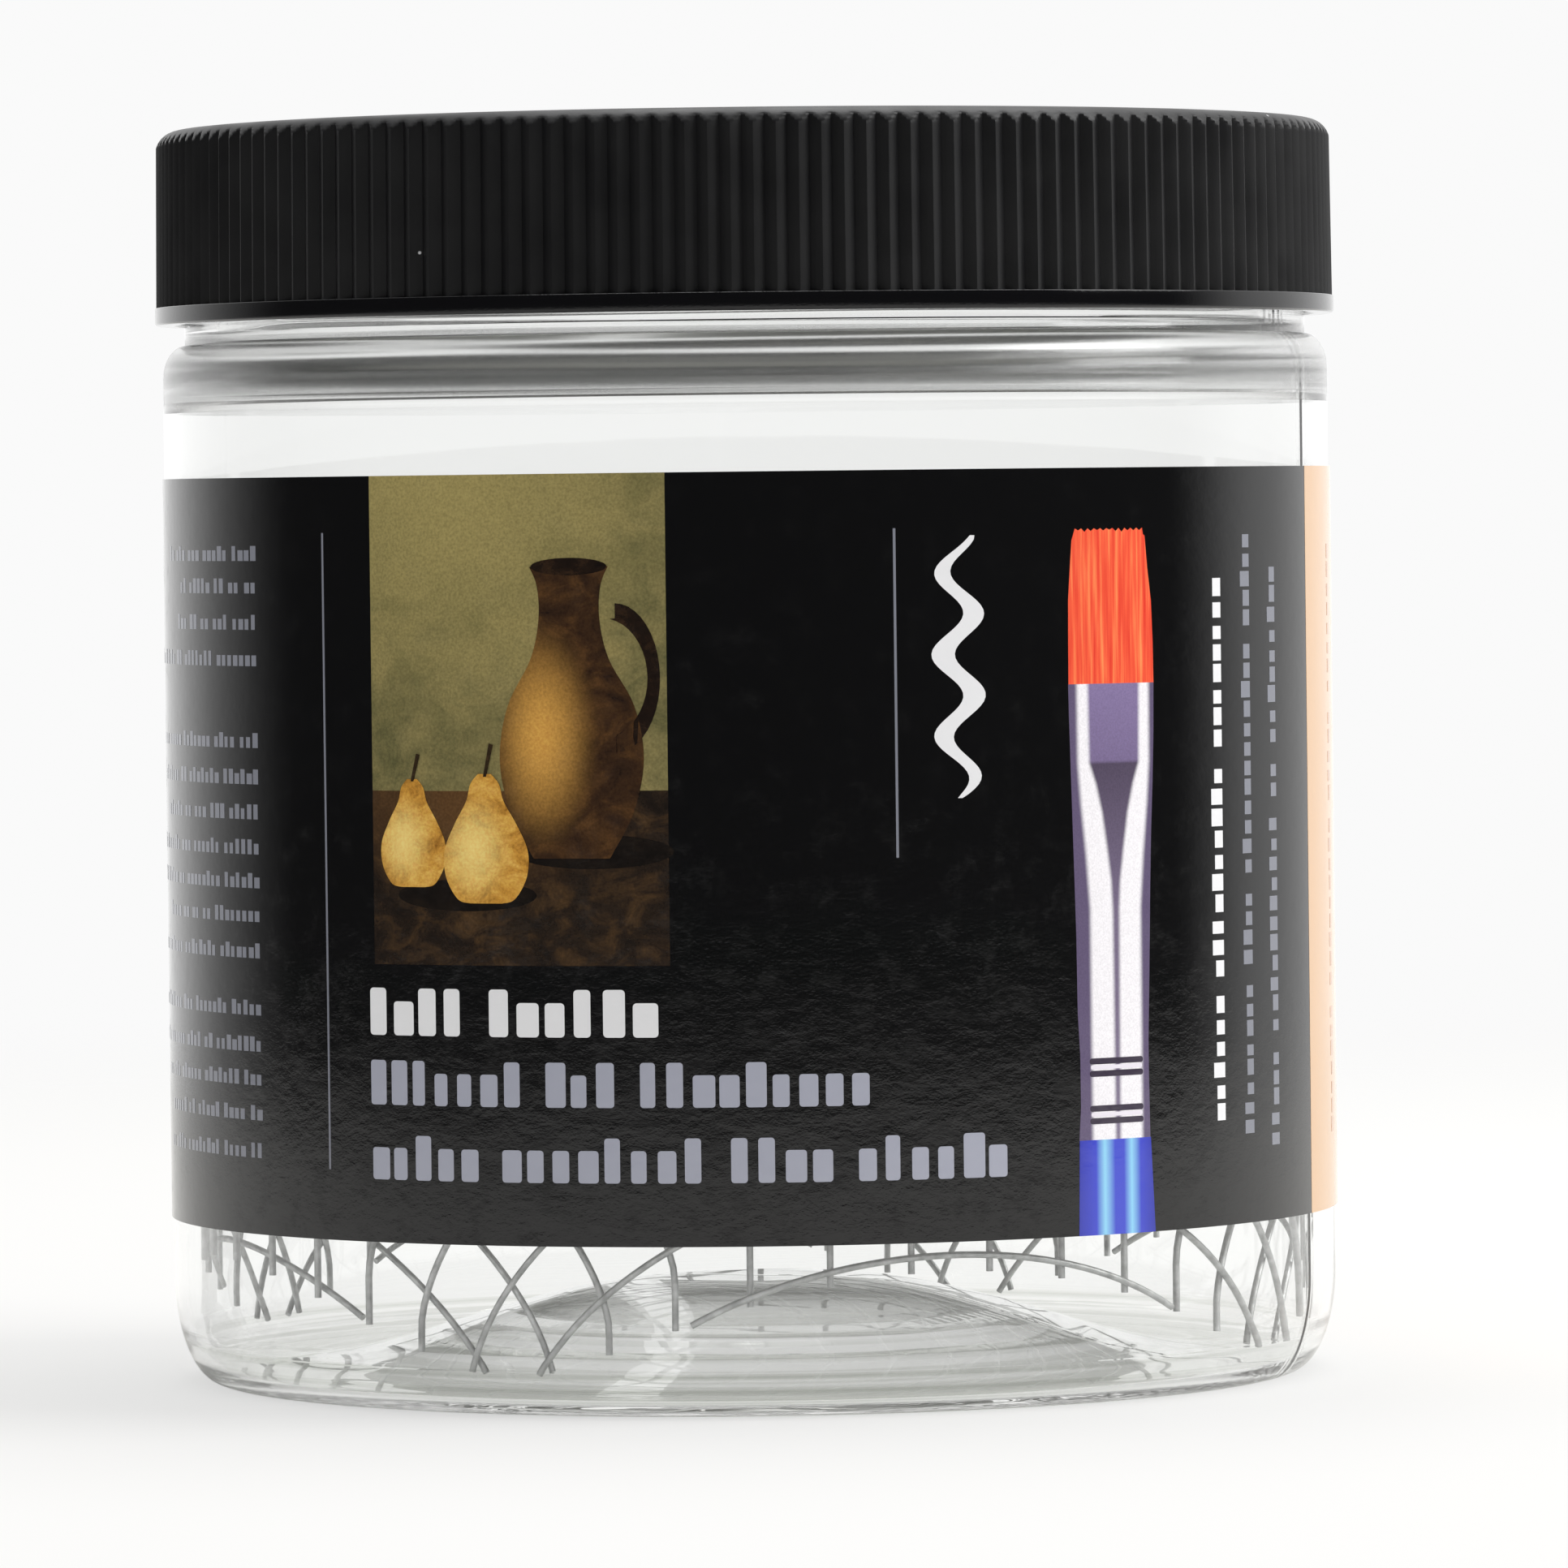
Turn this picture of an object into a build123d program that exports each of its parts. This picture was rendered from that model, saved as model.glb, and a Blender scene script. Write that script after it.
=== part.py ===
"""A brush washer: a clear screw-top jar with a wire screen pressed into its bottom."""

from build123d import *

import os
from math import asin, atan2, ceil, copysign, cos, degrees, hypot, pi, radians, sin, sqrt, tan

# Sizes in millimetres, +Z up, the origin on the table under the middle of the jar.

# Jar: a straight-sided clear bottle with a wide mouth
jar_radius = 46.1
jar_height = 96.2
jar_wall = 1.0
heel_width = 3.5  # outside curve between the wall and the base
heel_height = 8.2
push_up = 6.5  # rise of the domed base
crown_radius = 6.0  # flat top of the dome
foot_width = 2.4  # flat ring that the jar stands on
base_thickness = 1.2
finish_height = 14.3  # neck, from the top of the shoulder to the rim
shoulder_width = 1.75  # outside curve between the wall and the neck's bead
shoulder_rise = 2.6
inside_shoulder_rise = 5.0
shoulder_swell = 2.3  # the wall starts to thicken this far under the outside curve
bead_height = 2.7  # plain ring at the neck's foot, as proud as the thread
neck_wall = 1.25
rim_chamfer = 0.4
heel_chords = 3  # straight runs that each rounding is drawn as
shoulder_chords = 2
dome_chords = 3

# Screw cap: a ribbed shell
thread_depth = 1.3  # of the neck's thread and bead
thread_gap = 0.65  # between them and the skirt
lid_gap = 1.6  # between the lid's lower edge and the shoulder
lid_draft = 0.6  # degrees that the skirt leans in towards the top
lid_corner_width = 1.7
lid_corner_drop = 1.9
lid_corner_chords = 2
rib_count = 170
rib_depth = 0.5
rib_land = 0.24  # width of a rib's crest
plain_band = 1.4  # smooth ring under the ribs
skirt_wall = 1.2  # under the ribs' bottoms
panel_thickness = 1.6

# Cap liner: a soft disc between the cap and the jar's rim
liner_thickness = 1.0
liner_gap = 0.55  # to the cap's skirt

# Wrap-round label
label_thickness = 0.12
label_gap = 0.05  # to the jar's wall
label_over_heel = 4.9
label_under_shoulder = 7.9
label_seam = 5.6  # gap between the label's ends
seam_bearing = 104.5  # degrees round from the right; the back is at 90

# Screen: a square wire mesh pressed into an upturned pan
mesh_pitch = 6.35
wire_radius = 0.3
weld_gap = 0.03  # between wires at a crossing
side_gap = 1.085  # between the mesh and the jar's wall
screen_bend = 2.6  # rounding between the pan's top and its skirt
screen_skirt = 5.5  # what the flat blank has beyond the pan's radius, along the wires
blank_squareness = 3.0  # 2 is a round blank, more is squarer
screen_turn = 20.0  # degrees from the front to the wires' own direction
seat_gap = 0.25  # between the wires' tips and the jar's heel
wire_tolerance = 0.1  # how closely straight runs follow a bent wire
wire_sides = 5
bend_step = 1.0  # shortest straight run of a bent wire
least_turn = 1.0  # degrees between two of its runs

os.makedirs("parts", exist_ok=True)

wall_radius = jar_radius - jar_wall
bead_radius = jar_radius - shoulder_width
neck_radius = bead_radius - thread_depth
bore_radius = neck_radius - neck_wall
neck_foot = jar_height - finish_height
foot_outer = jar_radius - heel_width
foot_inner = foot_outer - foot_width
shoulder = neck_foot - shoulder_rise
lid_foot = neck_foot + lid_gap
panel_underside = jar_height + liner_thickness
lid_top = panel_underside + panel_thickness
lid_bore = bead_radius + thread_gap
lid_radius = lid_bore + skirt_wall + rib_depth  # rib crests at the lid's lower edge
label_inside = jar_radius + label_gap
label_low_edge = heel_height + label_over_heel
label_high_edge = shoulder - label_under_shoulder
screen_radius = wall_radius - side_gap - 2 * wire_radius - weld_gap / 2  # middle of the skirt
blank_reach = screen_radius + screen_skirt


def write(part, name):
    part.label = name
    export_step(part, f"parts/{name}.step")


def quarter_round(middle, width, height, start, chords):
    """Corners of a quarter of an ellipse, from the start angle round, drawn as a few chords."""
    angles = [radians(start + 90 * step / chords) for step in range(chords + 1)]
    return [(middle[0] + width * cos(a), middle[1] + height * sin(a)) for a in angles]


def dome(height):
    """Corners of the base's upturned bowl, from the foot in to the middle of its flat crown."""
    corners = []
    for share in [step / dome_chords for step in range(dome_chords + 1)]:
        radius = foot_inner - (foot_inner - crown_radius) * share
        corners.append((radius, height + push_up * (1 - cos(pi * share)) / 2))
    return corners + [(0, height + push_up)]


# Jar: one closed section of the wall, neck and domed base, turned about the axis.
heel_middle = (foot_outer, heel_height)
inside_shoulder = shoulder - shoulder_swell
bead_top = neck_foot + bead_height
inside_heel = quarter_round(
    heel_middle, wall_radius - foot_outer, heel_height - base_thickness, 270, heel_chords
)
with BuildPart() as jar:
    with BuildSketch(Plane.XZ) as wall:
        with BuildLine():
            Polyline(
                *dome(0)[::-1],
                *quarter_round(heel_middle, heel_width, heel_height, 270, heel_chords),
                *quarter_round(
                    (bead_radius, shoulder), shoulder_width, shoulder_rise, 0, shoulder_chords
                ),
                (bead_radius, bead_top),
                (neck_radius, bead_top + thread_depth),
                (neck_radius, jar_height),
                (bore_radius, jar_height),
                *quarter_round(
                    (bore_radius, inside_shoulder),
                    wall_radius - bore_radius,
                    inside_shoulder_rise,
                    0,
                    shoulder_chords,
                )[::-1],
                *inside_heel[::-1],
                *dome(base_thickness),
                close=True,
            )
        make_face()
        chamfer(wall.vertices().group_by(Axis.Y)[-1], rim_chamfer)
    revolve(axis=Axis.Z)
write(jar.part, "jar")


# Lid: a cap with a rounded top corner, its skirt cut by V flutes that run out at the corner.
def flute_outline(shrink):
    """A star of V flutes between flat ribs, at the lid's lower edge or shrunk from it."""
    crest = lid_radius * shrink
    root = (lid_radius - rib_depth) * shrink
    half_pitch = pi / rib_count
    half_land = rib_land / (2 * lid_radius)
    corners = []
    for rib in range(rib_count):
        middle = 2 * rib * half_pitch
        for radius, angle in (
            (crest, middle - half_land),
            (crest, middle + half_land),
            (root, middle + half_pitch),
        ):
            corners.append((radius * cos(angle), radius * sin(angle)))
    return corners


flutes_low = lid_foot + plain_band


def skirt_shrink(z):
    return 1 - (z - lid_foot) * tan(radians(lid_draft)) / lid_radius


with BuildPart() as lid:
    for z in (flutes_low, lid_top):
        with BuildSketch(Plane.XY.offset(z)):
            Polygon(*flute_outline(skirt_shrink(z)), align=None)
    loft(ruled=True)
    with BuildSketch(Plane.XZ):
        corner_middle = (
            lid_radius * skirt_shrink(lid_top) - lid_corner_width,
            lid_top - lid_corner_drop,
        )
        round_over = quarter_round(
            corner_middle, lid_corner_width, lid_corner_drop, 0, lid_corner_chords
        )
        past_ribs = lid_radius + rib_depth
        with BuildLine():
            Polyline(
                *round_over,
                (corner_middle[0], lid_top + lid_corner_drop),
                (past_ribs, lid_top + lid_corner_drop),
                (past_ribs, corner_middle[1]),
                close=True,
            )
        make_face()
    revolve(axis=Axis.Z, mode=Mode.SUBTRACT)
    with BuildSketch(Plane.XY.offset(lid_foot)):
        Circle(lid_radius)
    extrude(amount=plain_band)
    with BuildSketch(Plane.XY.offset(lid_foot)):
        Circle(lid_bore)
    extrude(amount=panel_underside - lid_foot, mode=Mode.SUBTRACT)
write(lid.part, "lid")


# Liner: a disc loose in the cap, squeezed onto the rim.
with BuildPart() as lid_liner:
    with BuildSketch(Plane.XY.offset(jar_height)):
        Circle(lid_bore - liner_gap)
    extrude(amount=liner_thickness)
write(lid_liner.part, "lid_liner")


# Label: a band round the jar's straight wall, open near the back.
with BuildPart() as label:
    with BuildSketch(Plane.XY.offset(label_low_edge)):
        Circle(label_inside + label_thickness)
        Circle(label_inside, mode=Mode.SUBTRACT)
        with PolarLocations(label_inside, 1, start_angle=seam_bearing):
            Rectangle(label_seam, label_seam, mode=Mode.SUBTRACT)
    extrude(amount=label_high_edge - label_low_edge)
write(label.part, "label")


# Screen: pressing shears the mesh's square cells but leaves its wires as long as they were.
# Beyond the pan's edge such a net has one shape, which these three functions give.
def turned(t):
    """How far round the skirt the wire at t across the blank has come, as a length."""
    t = min(abs(t), screen_radius)
    return (t * sqrt(1 - (t / screen_radius) ** 2) + screen_radius * asin(t / screen_radius)) / 2


def dropped(t):
    """How far down the skirt the wire at t has come, from half the skirt's radius above it."""
    t = abs(t)
    return t**2 / (2 * screen_radius) if t < screen_radius else t - screen_radius / 2


def pressed(u, v, layer):
    """Where the blank's point (u, v) goes: its place, with the pan's top at z = 0.

    layer is how far outside the middle of the mesh the point lies.
    """
    from_edge = hypot(u, v) - screen_radius
    bearing = atan2(abs(v), abs(u))
    if from_edge > 0:
        bearing = pi / 4 + (turned(v) - turned(u)) / screen_radius
        from_edge = dropped(u) + dropped(v) - screen_radius / 2
    if from_edge < -screen_bend:
        radius, height = screen_radius + from_edge, layer
    elif from_edge < screen_bend:
        bend = (1 + from_edge / screen_bend) * pi / 4
        radius = screen_radius - screen_bend + (screen_bend + layer) * sin(bend)
        height = (screen_bend + layer) * cos(bend) - screen_bend
    else:
        radius, height = screen_radius + layer, -from_edge
    return Vector(copysign(radius * cos(bearing), u), copysign(radius * sin(bearing), v), height)


def half_length(across):
    """Half the length of the wire at this distance across the blank."""
    share = 1 - (abs(across) / blank_reach) ** blank_squareness
    return blank_reach * share ** (1 / blank_squareness)


def thinned(points):
    """Leaves out the points that straight runs between the others pass closely enough."""
    first, last = points[0], points[-1]
    along = (last - first).normalized()
    misses = [((point - first) - along * (point - first).dot(along)).length for point in points]
    worst = max(misses)
    if worst < wire_tolerance:
        return [first, last]
    split = misses.index(worst)
    return thinned(points[: split + 1])[:-1] + thinned(points[split:])


def bent(points):
    """Leaves out the points where the route hardly turns."""
    kept = points[:1]
    for here, after in zip(points[1:], points[2:]):
        if (here - kept[-1]).get_angle(after - here) > least_turn:
            kept.append(here)
    return kept + points[-1:]


def wire_route(across, weft):
    """The middle line of one pressed wire. The warp lies outside, and the weft inside it."""
    reach = half_length(across)
    steps = ceil(2 * reach / bend_step)
    layer = wire_radius + weld_gap / 2
    points = []
    for step in range(steps + 1):
        along = reach * (2 * step / steps - 1)
        if weft:
            points.append(pressed(along, across, -layer))
        else:
            points.append(pressed(across, along, layer))
    return bent(thinned(points))


wires_each_side = ceil(blank_reach / mesh_pitch - 0.5)
places = [(n + 0.5) * mesh_pitch for n in range(-wires_each_side, wires_each_side)]
places = [across for across in places if half_length(across) > mesh_pitch]
routes = {}
for kind, weft in (("warp", False), ("weft", True)):
    for number, across in enumerate(places, start=1):
        routes[f"screen_{kind}_wire_{number:02}"] = wire_route(across, weft)

# The pan stands on its lowest tips, on the inside of the jar's heel.
tip_radius = wall_radius - side_gap
lowest_tip = min(point.Z for route in routes.values() for point in route)
inside_floor = dome(base_thickness)[::-1] + inside_heel
for low, high in zip(inside_floor, inside_floor[1:]):
    if low[0] < tip_radius <= high[0]:
        slope = (high[1] - low[1]) / (high[0] - low[0])
        seat_z = low[1] + (tip_radius - low[0]) * slope + seat_gap * hypot(1, slope)
screen_top = seat_z - lowest_tip
screen_place = Plane.XY.offset(screen_top).rotated((0, 0, screen_turn - 90))

for name, route in routes.items():
    corners = [screen_place.from_local_coords(point) for point in route]
    with BuildPart() as wire:
        with BuildLine():
            Polyline(*corners)
        with BuildSketch(Plane(origin=corners[0], z_dir=corners[1] - corners[0])):
            RegularPolygon(wire_radius, wire_sides)
        sweep(transition=Transition.RIGHT)
    write(wire.part, name)

print(f"screen top at {screen_top:.2f}, {len(routes)} wires, lid foot at {lid_foot:.2f}")
print(f"lid top at {lid_top:.2f}, turn of a rib {degrees(2 * pi / rib_count):.2f} degrees")
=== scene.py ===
import math
import random

import bmesh
import bpy
from mathutils import Matrix, Vector


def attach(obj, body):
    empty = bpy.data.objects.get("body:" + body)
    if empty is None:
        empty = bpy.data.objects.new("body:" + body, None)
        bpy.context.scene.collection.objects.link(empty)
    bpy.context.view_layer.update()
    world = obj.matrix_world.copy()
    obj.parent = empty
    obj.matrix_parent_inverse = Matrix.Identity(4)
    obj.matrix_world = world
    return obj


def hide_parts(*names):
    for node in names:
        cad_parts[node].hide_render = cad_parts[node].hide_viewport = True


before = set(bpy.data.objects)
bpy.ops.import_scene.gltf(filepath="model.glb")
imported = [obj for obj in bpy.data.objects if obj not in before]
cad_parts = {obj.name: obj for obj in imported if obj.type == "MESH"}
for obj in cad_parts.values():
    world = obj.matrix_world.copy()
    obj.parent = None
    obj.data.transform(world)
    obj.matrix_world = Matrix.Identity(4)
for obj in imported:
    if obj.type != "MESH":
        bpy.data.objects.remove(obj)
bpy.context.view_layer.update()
scene = bpy.context.scene
mm = 0.001  # sizes are in millimetres here, and the scene is in metres
fullTurn = 2 * math.pi
sameSpot = 0.0005  # points nearer to each other than this become one
hair = 0.01  # a point this near to a surface lies on it


# shared by the pieces

def addObject(name, data):
    thing = bpy.data.objects.new(name, data)
    scene.collection.objects.link(thing)
    return thing


def finishPiece(name, bm, material, body, nodes, sharpAngle):
    bmesh.ops.remove_doubles(bm, verts=bm.verts, dist=sameSpot * mm)
    bmesh.ops.recalc_face_normals(bm, faces=bm.faces)
    mesh = bpy.data.meshes.new(name)
    bm.to_mesh(mesh)
    bm.free()
    mesh.materials.append(material)
    mesh.shade_smooth()
    mesh.set_sharp_from_angle(angle=math.radians(sharpAngle))
    piece = addObject(name, mesh)
    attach(piece, body)
    if nodes:
        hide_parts(*nodes)
    return piece


def spinOutline(outline, steps):
    # turns a half section, whose ends lie on the axis, into a closed body
    bm = bmesh.new()
    verts = [bm.verts.new((radius * mm, 0, height * mm)) for radius, height in outline]
    edges = [bm.edges.new(pair) for pair in zip(verts, verts[1:])]
    bmesh.ops.spin(
        bm, geom=verts + edges, cent=(0, 0, 0), axis=(0, 0, 1), angle=fullTurn, steps=steps,
        use_merge=True,
    )
    bmesh.ops.remove_doubles(bm, verts=bm.verts, dist=sameSpot * mm)
    return bm


def quarterRound(middle, width, height, start, runs):
    angles = [math.radians(start + 90 * run / runs) for run in range(runs + 1)]
    return [(middle[0] + width * math.cos(a), middle[1] + height * math.sin(a)) for a in angles]


def rowsBetween(start, end, count):
    # evenly spaced points from start to end, without the two themselves
    return [
        tuple(start[i] + (end[i] - start[i]) * n / count for i in (0, 1)) for n in range(1, count)
    ]


def eased(share):
    share = max(0.0, min(1.0, share))
    return share * share * (3 - 2 * share)


def threadRise(sizes, angle, height):
    # how high a thread's ridge stands at this angle and height, from 0 to 1
    rise = 0
    for turn in range(math.ceil(sizes["turns"]) + 1):
        along = angle / fullTurn + turn
        middle = sizes["foot"] + sizes["pitch"] * along
        ends = min(along, sizes["turns"] - along) / sizes["fade"]
        flankWidth = (sizes["footWidth"] - sizes["crestWidth"]) / 2
        flank = (sizes["footWidth"] / 2 - abs(height - middle)) / flankWidth
        rise = max(rise, eased(ends) * eased(flank))
    return rise


# shared by the finishes

def printColour(red, green, blue):
    # from the 0 to 255 values of a screen to Blender's own
    return tuple(
        c / 12.92 if c <= 0.04045 else ((c + 0.055) / 1.055) ** 2.4
        for c in (red / 255, green / 255, blue / 255)
    )


def startFinish(name, colour, roughness):
    finish = bpy.data.materials.new(name)
    finish.use_nodes = True
    shader = finish.node_tree.nodes["Principled BSDF"]
    shader.inputs["Base Color"].default_value = (*colour, 1)
    shader.inputs["Roughness"].default_value = roughness
    return finish, finish.node_tree, shader


def addNode(tree, kind, values=None, **settings):
    node = tree.nodes.new("ShaderNode" + kind)
    for key, value in settings.items():
        setattr(node, key, value)
    for socket, value in (values or {}).items():
        if isinstance(value, bpy.types.NodeSocket):
            tree.links.new(value, node.inputs[socket])
        else:
            node.inputs[socket].default_value = value
    return node


def calculate(tree, operation, *values):
    return addNode(tree, "Math", dict(enumerate(values)), operation=operation).outputs[0]


def remap(tree, value, low, high, start=0.0, end=1.0, kind="LINEAR"):
    values = {0: value, 1: low, 2: high, 3: start, 4: end}
    return addNode(tree, "MapRange", values, interpolation_type=kind).outputs[0]


def axisOf(tree, place, axis):
    # 0, 1 and 2 are the place's x, y and z
    return addNode(tree, "SeparateXYZ", {0: place}).outputs[axis]


def objectPlace(tree, scale=(1, 1, 1), kind="Object"):
    place = addNode(tree, "TexCoord").outputs[kind]
    return addNode(tree, "Mapping", {"Vector": place, "Scale": scale}).outputs[0]


def printShare(tree, axis):
    # how far across (0) or up (1) a print a point lies, from 0 to 1
    return axisOf(tree, addNode(tree, "TexCoord").outputs["UV"], axis)


def noiseOn(tree, place, size, detail=3.0, roughness=0.5, distortion=0.0):
    # size is that of the noise's blotches in millimetres
    values = {"Vector": place, "Scale": 1 / (size * mm), "Detail": detail,
              "Roughness": roughness, "Distortion": distortion}
    return addNode(tree, "TexNoise", values).outputs[0]


def rampOf(tree, value, stops, interpolation="LINEAR"):
    # stops are (position, colour or grey)
    node = addNode(tree, "ValToRGB", {0: value})
    node.color_ramp.interpolation = interpolation
    while len(node.color_ramp.elements) < len(stops):
        node.color_ramp.elements.new(0.5)
    for element, (position, colour) in zip(node.color_ramp.elements, stops):
        element.position = position
        if isinstance(colour, (int, float)):
            colour = (colour,) * 3
        element.color = (*colour, 1)
    return node.outputs[0]


def byHeight(tree, stops, highest=100):
    # a grey that changes with height: stops are (millimetres, grey)
    height = calculate(tree, "MULTIPLY", axisOf(tree, objectPlace(tree), 2), 1 / (highest * mm))
    return rampOf(tree, height, [(place / highest, grey) for place, grey in stops])


def mixColours(tree, share, first, second, blend="MIX"):
    node = addNode(tree, "Mix", data_type="RGBA", blend_type=blend)
    for socket, value in ((0, share), (6, first), (7, second)):
        if isinstance(value, bpy.types.NodeSocket):
            tree.links.new(value, node.inputs[socket])
        elif socket == 0:
            node.inputs[socket].default_value = value
        else:
            node.inputs[socket].default_value = (*value, 1)
    return node.outputs[2]


def bumpFrom(tree, shader, height, depth, strength):
    # depth is the bump's height in millimetres
    values = {"Height": height, "Distance": depth * mm, "Strength": strength}
    tree.links.new(addNode(tree, "Bump", values).outputs[0], shader.inputs["Normal"])


# gloss printed film: fine ripples bend its reflections, and a few scuffs dull them

filmLook = {
    "roughness": 0.09, "scuffRoughness": 0.22, "scuffSize": 2.4,
    "rippleSize": 8, "rippleDepth": 0.07, "rippleStrength": 0.5,
}


def filmFinish(name, colour, look=filmLook):
    finish, tree, shader = startFinish(name, colour, look["roughness"])
    ripples = noiseOn(tree, objectPlace(tree, (1, 1, 1.6)), look["rippleSize"], 6, 0.68)
    bumpFrom(tree, shader, ripples, look["rippleDepth"], look["rippleStrength"])
    scuffs = rampOf(tree, noiseOn(tree, objectPlace(tree), look["scuffSize"], 6, 0.7),
                    [(0.5, look["roughness"]), (0.75, look["scuffRoughness"])])
    tree.links.new(scuffs, shader.inputs["Roughness"])
    return finish, tree, shader


def plainFilm(name, red, green, blue):
    return filmFinish(name, printColour(red, green, blue))[0]


# jar: one clear wall with a thread moulded round its neck

jar = {
    "radius": 46.1, "height": 96.2, "wall": 1.0,
    "heelWidth": 3.5, "heelHeight": 8.2,
    "pushUp": 6.5, "crownRadius": 6.0, "footWidth": 2.4, "baseThickness": 1.2,
    "neckRadius": 43.05, "neckWall": 1.25, "neckHeight": 14.3, "rimRound": 0.4,
    "shoulderWidth": 1.75, "shoulderRise": 2.6, "insideRise": 5.0, "shoulderSwell": 2.3,
    "beadHeight": 2.7, "beadRound": 0.35,
    "stepsRound": 240, "domeSteps": 24, "heelSteps": 16, "shoulderSteps": 12, "edgeSteps": 4,
    "neckRows": 40,
}
neckThread = {
    "foot": 87.6, "pitch": 5.08, "turns": 1.25, "fade": 0.06, "footWidth": 2.9,
    "crestWidth": 0.8, "depth": 1.15,
}
wallRadius = jar["radius"] - jar["wall"]
boreRadius = jar["neckRadius"] - jar["neckWall"]
footOuter = jar["radius"] - jar["heelWidth"]
footInner = footOuter - jar["footWidth"]
neckFoot = jar["height"] - jar["neckHeight"]
shoulder = neckFoot - jar["shoulderRise"]

jarLook = {
    "tint": (0.992, 0.996, 0.99), "refraction": 1.57, "shade": (0.92, 0.93, 0.92),
    # the heel's rings are painted reflections: light and dark bands put into its colour
    "heelReflectionSize": 0.9, "heelReflectionShare": 0.8, "heelReflectionTop": 4.2, "heelReflectionDark": (0.62, 0.635, 0.59),
    "heelReflectionBright": (0.995, 1.0, 0.985), "heelReflectionPale": (0.68, 0.7, 0.65),
    "rippleSize": 14, "rippleShare": 0.036, "flowLineSize": 2.0, "flowLineTop": 4.4,
    "bumpDepth": 1.4, "bumpStrength": 0.5, "shoulderRoughness": 0.18,
    "lineBearing": 70.3,  # degrees round to the right from the front
    "lineInner": 0.15, "lineOuter": 0.7, "lineNear": 0.05, "lineFar": 0.008,
}


def makeClearPlastic(look):
    finish, tree, shader = startFinish("clearPlastic", look["tint"], 0.0)
    shader.inputs["Transmission Weight"].default_value = 1.0
    shader.inputs["IOR"].default_value = look["refraction"]

    # painted reflection: fine light and dark rings, a little green, in the heel's colour,
    # standing in for the reflections inside its thick plastic
    heelReflections = noiseOn(tree, objectPlace(tree, (0.004, 0.004, 1)), look["heelReflectionSize"], 3)
    heelReflections = rampOf(tree, heelReflections, [(0.4, look["heelReflectionDark"]), (0.45, look["heelReflectionBright"]),
                                 (0.55, look["heelReflectionBright"]), (0.6, look["heelReflectionPale"])])
    heelReflectionMask = byHeight(tree, [(look["heelReflectionTop"] - 1.2, look["heelReflectionShare"]), (look["heelReflectionTop"], 0.0)])
    tree.links.new(mixColours(tree, heelReflectionMask, look["tint"], heelReflections), shader.inputs["Base Color"])

    # flow lines drawn out round the jar, strong only in its thick shoulder and heel, with
    # none on the wall between
    heelTop, dull = look["flowLineTop"], look["shoulderRoughness"]
    before, foot, top, after = shoulder - 2.7, shoulder - 1.9, neckFoot + 0.3, neckFoot + 0.8
    flowLines = noiseOn(tree, objectPlace(tree, (0.02, 0.02, 1)), look["flowLineSize"], 1)
    inThickParts = byHeight(tree, [(0.0, 0.3), (heelTop - 0.8, 0.22), (heelTop, 0.0),
                                   (before, 0.0), (foot, 1.0), (top, 1.0), (after, 0.6)])
    flowLines = calculate(tree, "MULTIPLY", flowLines, inThickParts)
    ripples = noiseOn(tree, objectPlace(tree, (1, 1, 0.35)), look["rippleSize"], 1.5)
    uneven = calculate(tree, "MULTIPLY_ADD", ripples, look["rippleShare"], flowLines)
    dulled = byHeight(tree, [(before, 0.0), (foot, dull), (top, dull), (after, 0.0)])
    tree.links.new(dulled, shader.inputs["Roughness"])

    # the line where the mould's halves met, plain on the right and faint on the far side
    turn = (0, 0, -math.radians(look["lineBearing"]))
    turned = addNode(tree, "Mapping", {"Vector": objectPlace(tree), "Rotation": turn}).outputs[0]
    fromLine = calculate(tree, "ABSOLUTE", axisOf(tree, turned, 0))
    line = remap(tree, fromLine, look["lineInner"] * mm, look["lineOuter"] * mm, 1.0, 0.0)
    proud = remap(tree, axisOf(tree, turned, 1), -40 * mm, 40 * mm, look["lineNear"],
                  look["lineFar"])
    uneven = calculate(tree, "MULTIPLY_ADD", line, proud, uneven)
    bumpFrom(tree, shader, uneven, look["bumpDepth"], look["bumpStrength"])

    # lamps shine through the jar, which otherwise has a solid shadow
    lampLight = addNode(tree, "LightPath").outputs["Is Shadow Ray"]
    clear = addNode(tree, "BsdfTransparent", {"Color": (*look["shade"], 1)})
    whole = addNode(tree, "MixShader", {0: lampLight, 1: shader.outputs[0], 2: clear.outputs[0]})
    tree.links.new(whole.outputs[0], tree.nodes["Material Output"].inputs["Surface"])
    return finish


def domeRows(height):
    # the base's upturned bowl, from its crown out to the foot
    rows = [(0, height + jar["pushUp"])]
    for n in range(jar["domeSteps"] + 1):
        share = 1 - n / jar["domeSteps"]
        radius = footInner - (footInner - jar["crownRadius"]) * share
        rows.append((radius, height + jar["pushUp"] * (1 - math.cos(math.pi * share)) / 2))
    return rows


heelMiddle = (footOuter, jar["heelHeight"])
rimMiddle = jar["height"] - jar["rimRound"]
beadRadius = jar["radius"] - jar["shoulderWidth"]
beadTop = neckFoot + jar["beadHeight"]
neckLow = (jar["neckRadius"], beadTop + beadRadius - jar["neckRadius"])
neckHigh = (jar["neckRadius"], rimMiddle)
rimRound, beadRound, edgeSteps = jar["rimRound"], jar["beadRound"], jar["edgeSteps"]
outside = (
    domeRows(0)
    + quarterRound(heelMiddle, jar["heelWidth"], jar["heelHeight"], 270, jar["heelSteps"])
    + quarterRound((beadRadius, shoulder), jar["shoulderWidth"], jar["shoulderRise"], 0,
                   jar["shoulderSteps"])
    + quarterRound((beadRadius - beadRound, beadTop - beadRound), beadRound, beadRound, 0,
                   edgeSteps)[:3]
    + [neckLow] + rowsBetween(neckLow, neckHigh, jar["neckRows"])
    + quarterRound((jar["neckRadius"] - rimRound, rimMiddle), rimRound, rimRound, 0, edgeSteps)
)
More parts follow.
